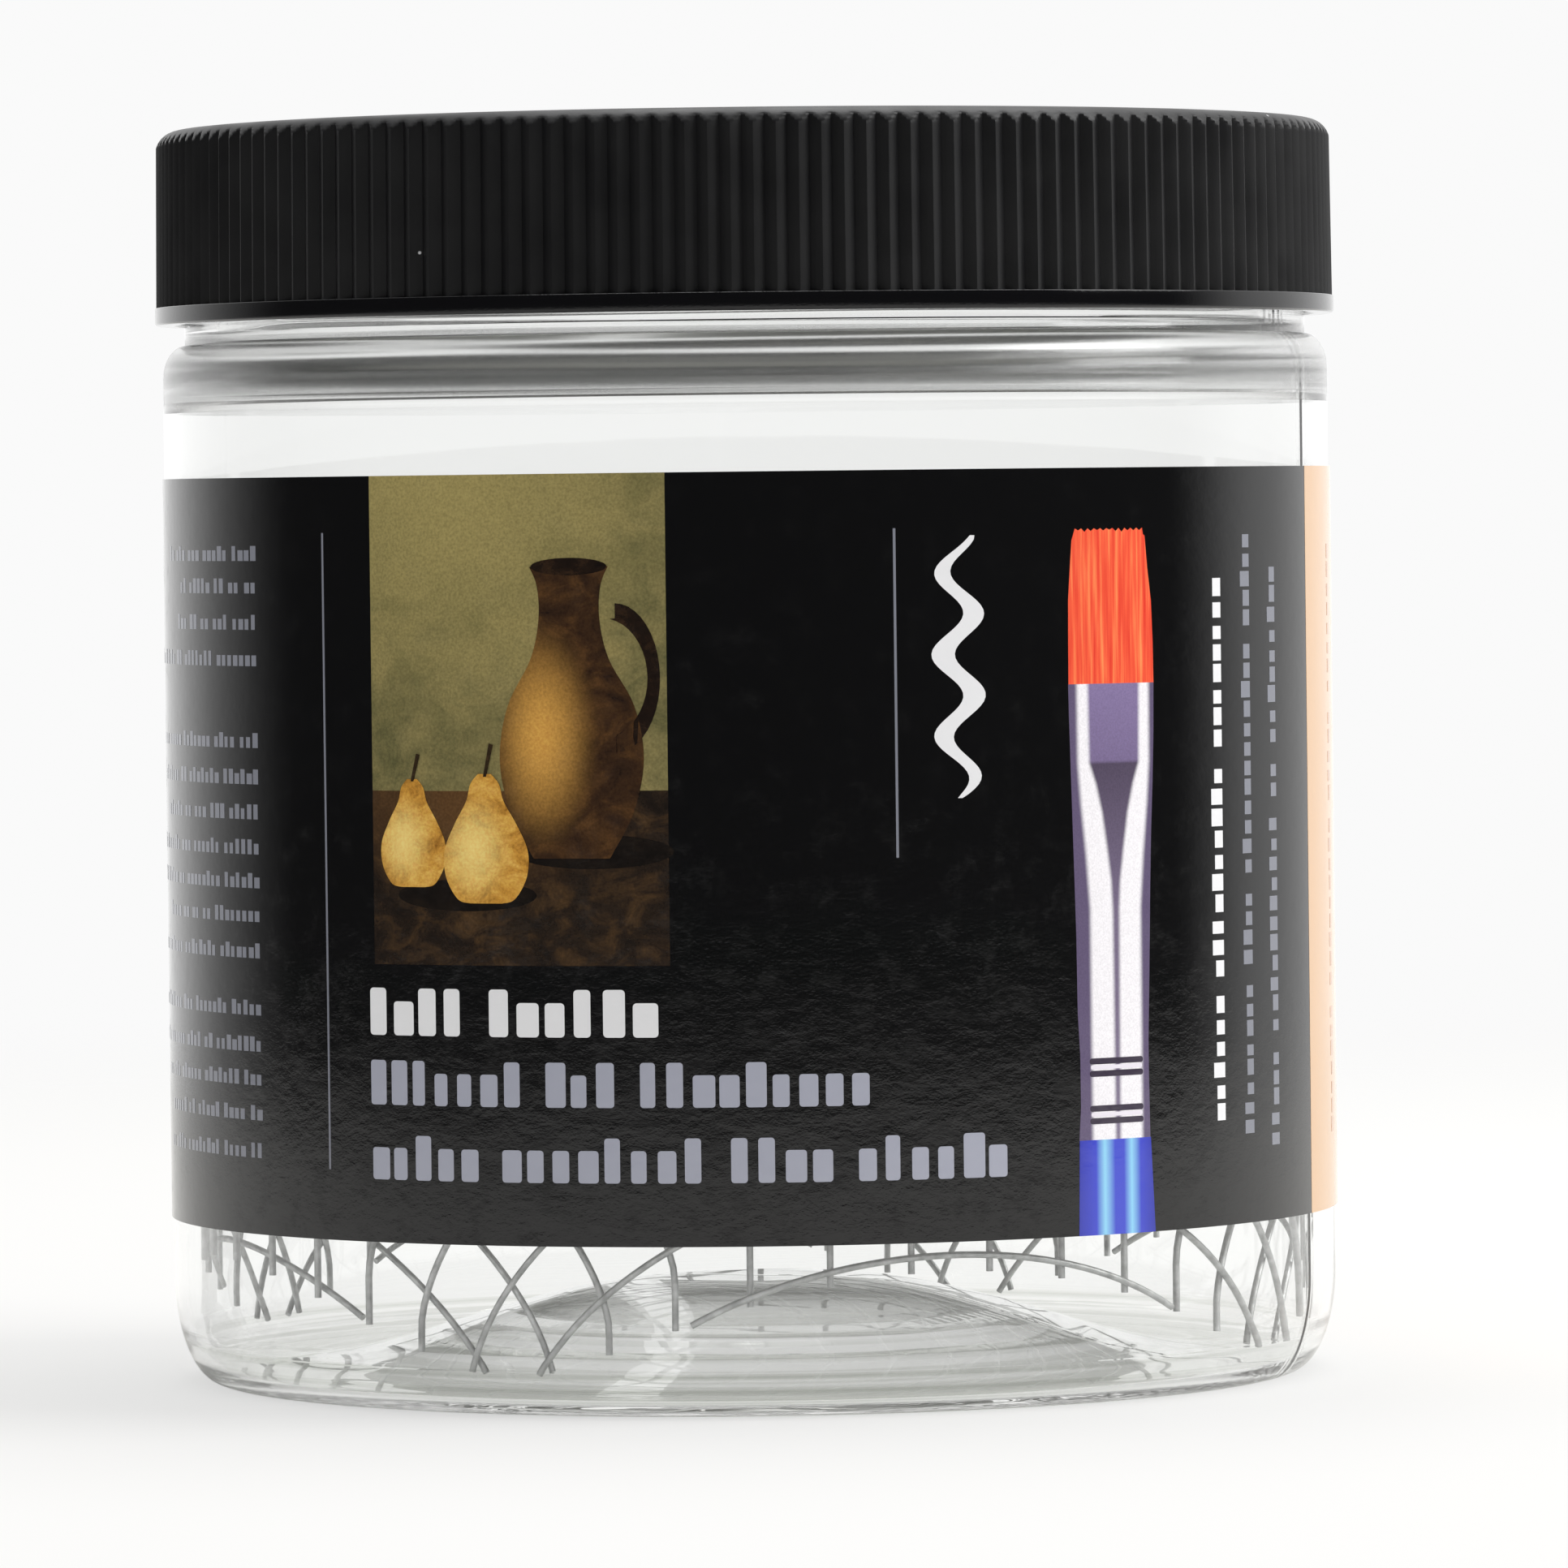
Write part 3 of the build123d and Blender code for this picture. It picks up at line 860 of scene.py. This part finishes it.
def makeBlackPlastic(look):
    # satin ribs with grain and dust on them, over a glossier plain band
    finish, tree, shader = startFinish("blackPlastic", look["colour"], 0.42)
    shader.inputs["Specular IOR Level"].default_value = look["gloss"]
    place = objectPlace(tree)
    cells = addNode(tree, "TexVoronoi", {"Vector": place, "Scale": 1 / (look["dustSize"] * mm)})
    near = rampOf(tree, cells.outputs["Distance"], [(0.03, 1), (0.06, 0)])
    chosen = rampOf(tree, cells.outputs["Color"], [(0.8, 0), (0.82, 1)])
    dusty = calculate(tree, "MULTIPLY", near, chosen)
    colour = mixColours(tree, dusty, look["colour"], look["dust"])
    tree.links.new(colour, shader.inputs["Base Color"])
    satin = rampOf(tree, noiseOn(tree, place, look["cloudSize"], 3),
                   [(0.3, look["smoothest"]), (0.7, look["roughest"])])
    bandTop = (flutesLow - lid["fluteStep"]) * mm
    ribbed = calculate(tree, "GREATER_THAN", axisOf(tree, place, 2), bandTop)
    roughness = addNode(tree, "Mix", {0: ribbed, 2: look["bandRoughness"], 3: satin}).outputs[0]
    tree.links.new(roughness, shader.inputs["Roughness"])
    grain = noiseOn(tree, place, look["grainSize"], 2)
    bumpFrom(tree, shader, grain, look["grainDepth"], look["grainStrength"])
    return finish


def lidRadiusAt(height):
    return lid["radius"] - (height - lid["foot"]) * draftLean


top, underside, bore, chamfer = lid["top"], lid["underside"], lid["bore"], lid["boreChamfer"]
edge, bandRound = lid["edgeRound"], lid["bandRound"]
cornerMiddle = (lidRadiusAt(top) - lid["cornerWidth"], top - lid["cornerDrop"])
corner = quarterRound(cornerMiddle, lid["cornerWidth"], lid["cornerDrop"], 0, 33)
ribHeights = (*lid["ribRows"], flutesLow + lid["fluteStep"], flutesLow)
lidOutline = (
    [(radius, top) for radius in lid["topRings"]]
    # rows are closer low on the corner, where the flutes run out
    + corner[18::3][::-1] + corner[17::-1]
    + [(lidRadiusAt(height) - bandRound, height) for height in ribHeights]
    + quarterRound((lid["radius"] - bandRound, flutesLow - bandRound), bandRound, bandRound,
                   0, 3)[::-1][1:]
    + quarterRound((lid["radius"] - edge, lid["foot"] + edge), edge, edge, 270, 3)[::-1]
    + [(bore + chamfer, lid["foot"]), (bore, lid["foot"] + chamfer)]
    + rowsBetween((bore, lid["foot"] + chamfer), (bore, underside), lid["boreRows"])
    + [(bore, underside), (24, underside), (0, underside)]
)
bm = spinOutline(lidOutline, lid["ribCount"] * lid["stepsPerRib"])
ribPitch = fullTurn * lid["radius"] / lid["ribCount"]
halfFlute = (ribPitch - lid["ribLand"]) / 2
skinFrom, threadRoom = bore + 0.4, underside - 0.5
for vert in bm.verts:
    radius, height = math.hypot(vert.co.x, vert.co.y) / mm, vert.co.z / mm
    angle = math.atan2(vert.co.y, vert.co.x) % fullTurn
    if radius > skinFrom and height > flutesLow + hair:
        across = angle / fullTurn * lid["ribCount"] % 1
        across = min(across, 1 - across) * ribPitch - lid["ribLand"] / 2
        cut = max(0, across) / halfFlute * lid["ribDepth"]
        vert.co.xy *= min(radius, lidRadiusAt(height) - bandRound - cut) / radius
    elif abs(radius - bore) < hair and height < threadRoom:
        angle = (angle - lidThread["start"] * fullTurn) % fullTurn
        vert.co.xy *= 1 - lidThread["depth"] * threadRise(lidThread, angle, height) / radius
finishPiece("ribbedLid", bm, makeBlackPlastic(lidLook), "lid", ["lid"],
            sharpAngle=25)
print("lid made")


# liner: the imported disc, in its own finish

def makeLinerFoam():
    finish, tree, shader = startFinish("linerFoam", printColour(232, 231, 226), 0.75)
    bumpFrom(tree, shader, noiseOn(tree, objectPlace(tree), 0.35, 3), 0.05, 0.6)
    return finish


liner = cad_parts["lid_liner"]
liner.data.materials.clear()
liner.data.materials.append(makeLinerFoam())
print("liner made")


# stage, light and camera

stage = {
    "radius": 620, "drop": 0.05, "fadeStart": 0.45, "fadeEnd": 0.98,
    "colour": printColour(230, 229, 226), "glow": (0.95, 0.95, 0.95),
    "glowSeen": 0.6, "glowThroughJar": 0.8,
}


def makePaleFloor(look):
    # part of it glows where it is seen, straight or through the jar, and it fades out
    # towards its edge
    finish = bpy.data.materials.new("paleFloor")
    finish.use_nodes = True
    tree = finish.node_tree
    tree.nodes.clear()
    diffuse = addNode(tree, "BsdfDiffuse", {"Color": (*look["colour"], 1)})
    glow = addNode(tree, "Emission", {"Color": (*look["glow"], 1), "Strength": 1.0})
    ray = addNode(tree, "LightPath")
    seen = calculate(tree, "MULTIPLY", ray.outputs["Is Camera Ray"], look["glowSeen"])
    through = calculate(tree, "MULTIPLY", ray.outputs["Is Transmission Ray"],
                        look["glowThroughJar"])
    share = calculate(tree, "MAXIMUM", seen, through)
    lit = addNode(tree, "MixShader", {0: share, 1: diffuse.outputs[0], 2: glow.outputs[0]})
    place = addNode(tree, "TexCoord").outputs["Object"]
    away = addNode(tree, "VectorMath", {0: place}, operation="LENGTH").outputs["Value"]
    radius = look["radius"] * mm
    fade = remap(tree, away, look["fadeStart"] * radius, look["fadeEnd"] * radius,
                 kind="SMOOTHSTEP")
    clear = addNode(tree, "BsdfTransparent")
    whole = addNode(tree, "MixShader", {0: fade, 1: lit.outputs[0], 2: clear.outputs[0]})
    out = addNode(tree, "OutputMaterial")
    tree.links.new(whole.outputs[0], out.inputs["Surface"])
    return finish


bm = bmesh.new()
bmesh.ops.create_circle(bm, cap_ends=True, segments=96, radius=stage["radius"] * mm,
                        matrix=Matrix.Translation((0, 0, -stage["drop"] * mm)))
floorMesh = bpy.data.meshes.new("floor")
bm.to_mesh(floorMesh)
bm.free()
floorMesh.materials.append(makePaleFloor(stage))
floor = addObject("floor", floorMesh)

studio = {
    "seen": 0.955, "diffuse": 0.62, "front": 0.035, "edgeOn": 1.18, "top": 0.85,
    # where its reflection starts and ends to brighten, from 0 at the side to 1 at the back
    "left": (0.15, 0.92), "right": (0.0, 0.45),
}


def makeStudio(levels):
    # an even light where it is seen straight or through the jar; its reflection is dark in
    # front and bright behind, further round on the right, and bright above
    world = bpy.data.worlds.new("studio")
    world.use_nodes = True
    tree = world.node_tree
    tree.nodes.clear()
    ray = addNode(tree, "LightPath")
    direction = addNode(tree, "TexCoord").outputs["Generated"]
    sideways, back, up = [axisOf(tree, direction, axis) for axis in range(3)]
    onRight = remap(tree, sideways, -0.2, 0.2)
    ends = zip(levels["left"], levels["right"])
    low, high = [remap(tree, onRight, 0, 1, left, right) for left, right in ends]
    behind = remap(tree, back, low, high, levels["front"], 1.0, "SMOOTHSTEP")
    edgeOn = remap(tree, back, 0.6, 0.85, 1.0, levels["edgeOn"])
    behind = calculate(tree, "MULTIPLY", behind, edgeOn)
    above = remap(tree, up, 0.35, 0.8, 0.0, levels["top"], "SMOOTHSTEP")
    mirrored = calculate(tree, "MAXIMUM", behind, above)
    glossy = ray.outputs["Is Glossy Ray"]
    unseen = addNode(tree, "Mix", {0: glossy, 2: levels["diffuse"], 3: mirrored}).outputs[0]
    straight = calculate(tree, "MAXIMUM", ray.outputs["Is Camera Ray"],
                         ray.outputs["Is Transmission Ray"])
    level = addNode(tree, "Mix", {0: straight, 2: unseen, 3: levels["seen"]}).outputs[0]
    light = addNode(tree, "Background", {"Color": (1, 1, 1, 1), "Strength": level})
    tree.links.new(light.outputs[0], addNode(tree, "OutputWorld").inputs["Surface"])
    return world


scene.world = makeStudio(studio)

lamps = {  # in metres and watts
    "windowRight": {"place": (0.75, -0.1, 0.6), "target": (0, 0, 0.06), "size": (0.5, 0.7),
                    "power": 5.0},
    "softTop": {"place": (0.1, 0.2, 0.9), "target": (0, 0, 0.05), "size": (0.7, 0.7),
                "power": 5.0},
}
for name, lamp in lamps.items():
    light = bpy.data.lights.new(name, "AREA")
    light.shape = "RECTANGLE"
    light.size, light.size_y = lamp["size"]
    light.energy = lamp["power"]
    aim = Vector(lamp["target"]) - Vector(lamp["place"])
    turn = aim.to_track_quat("-Z", "Y").to_matrix().to_4x4()
    addObject(name, light).matrix_world = Matrix.Translation(lamp["place"]) @ turn

camera = {
    "place": (1.1, -853.8, 69.6), "focal": 246.86, "sensor": 36, "yaw": 0.108, "pitch": 1.54,
    "roll": -0.67, "nearest": 0.01, "farthest": 20,
}
lens = bpy.data.cameras.new("camera")
lens.lens = camera["focal"]
lens.sensor_width = camera["sensor"]
lens.clip_start, lens.clip_end = camera["nearest"], camera["farthest"]
scene.camera = addObject("camera", lens)
scene.camera.matrix_world = (
    Matrix.Translation(Vector(camera["place"]) * mm)
    @ Matrix.Rotation(math.radians(-camera["yaw"]), 4, "Z")
    @ Matrix.Rotation(math.radians(90 - camera["pitch"]), 4, "X")
    @ Matrix.Rotation(math.radians(camera["roll"]), 4, "Z")
)
scene.view_settings.view_transform = "Standard"

# light goes many times to and fro in the thick parts of a clear jar
scene.cycles.max_bounces = 96
scene.cycles.glossy_bounces = 80
scene.cycles.transmission_bounces = 32
scene.cycles.diffuse_bounces = 6
scene.cycles.transparent_max_bounces = 16

print("stage set")
